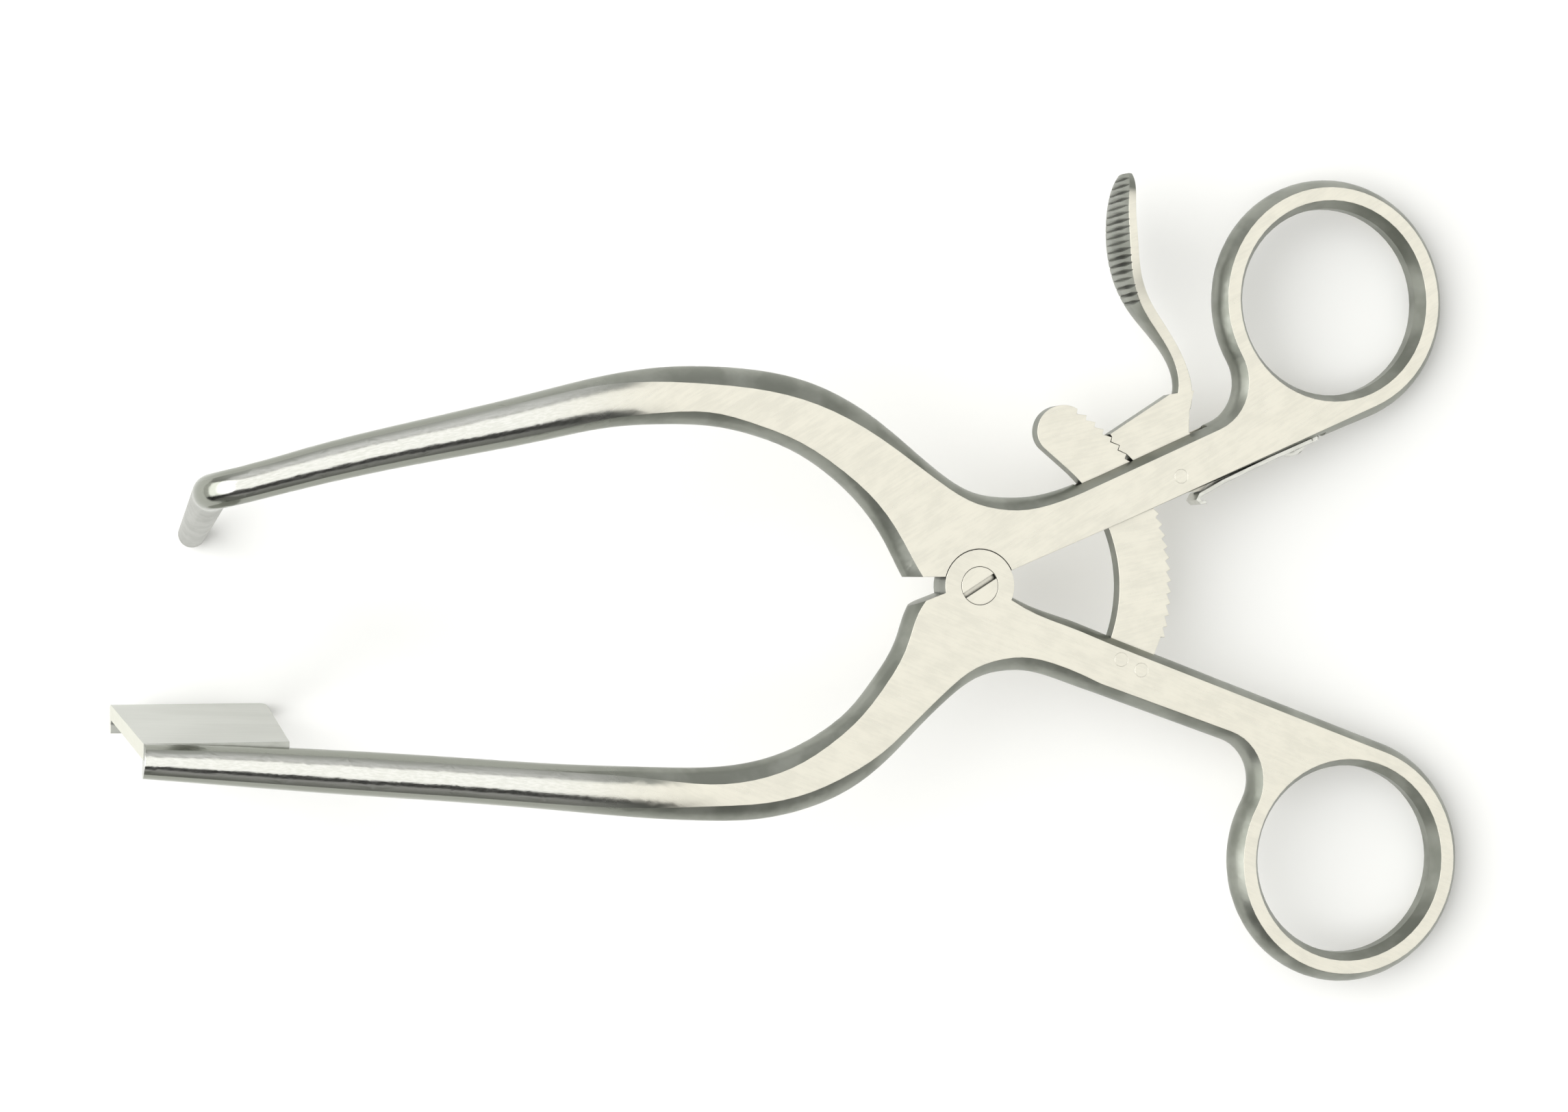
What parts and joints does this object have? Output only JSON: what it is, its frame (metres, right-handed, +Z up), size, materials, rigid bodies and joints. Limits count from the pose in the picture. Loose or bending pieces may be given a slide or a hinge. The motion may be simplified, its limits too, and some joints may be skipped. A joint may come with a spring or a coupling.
{
  "type": "cheek retractor",
  "caption": "Self-retaining retractor: flat blade arm and single prong arm hinged at a screw, held open by a curved rack and a sprung thumb pawl, with finger rings.",
  "frame": {"origin": "centre of the bounding box's foot, on the floor that both tips and both rings stand on", "axes": "+X from the tips towards the finger rings, +Y towards the prong arm's side, +Z up; the arms' plane slopes down 15 degrees towards the rings"},
  "size_m": [0.1966, 0.1174, 0.0535],
  "materials": {
    "satin_steel": "satin",
    "blade_steel": "matte satin",
    "ratchet_steel": "fine ground",
    "screw_steel": "satin",
    "spring_steel": "polished"
  },
  "bodies": {
    "lower_arm": {"lower_arm": "satin_steel", "retractor_blade": "blade_steel", "ratchet_rack": "ratchet_steel", "rack_rivets": "ratchet_steel"},
    "upper_arm": {"upper_arm": "satin_steel", "pivot_screw": "screw_steel", "pawl_pin": "ratchet_steel", "spring_screw": "screw_steel"},
    "thumb_lever": {"pawl_lever": "ratchet_steel"},
    "leaf_spring": {"leaf_spring": "spring_steel"}
  },
  "joints": [
    {"name": "arm_pivot", "type": "hinge", "parent": "lower_arm", "child": "upper_arm", "pos_m": [0.02765, 0.00043, 0.02123], "axis": [-0.2588, 0, -0.9659], "range_deg": [-9.6, 28.8]},
    {"name": "lever_pivot", "type": "hinge", "parent": "upper_arm", "child": "thumb_lever", "pos_m": [0.05731, 0.01521, 0.01328], "axis": [-0.2588, 0, -0.9659], "range_deg": [0, 9], "stiffness_Nm_per_rad": 0.3, "springref_deg": -5.73},
    {"name": "spring_flex", "type": "hinge", "parent": "upper_arm", "child": "leaf_spring", "pos_m": [0.0709, 0.01772, 0.00964], "axis": [-0.2588, 0, -0.9659], "range_deg": [-2.8, 0], "deforming": ["leaf_spring"]}
  ],
  "couplings": [
    {"joint": "spring_flex", "follows": "lever_pivot", "ratio": -0.3}
  ]
}
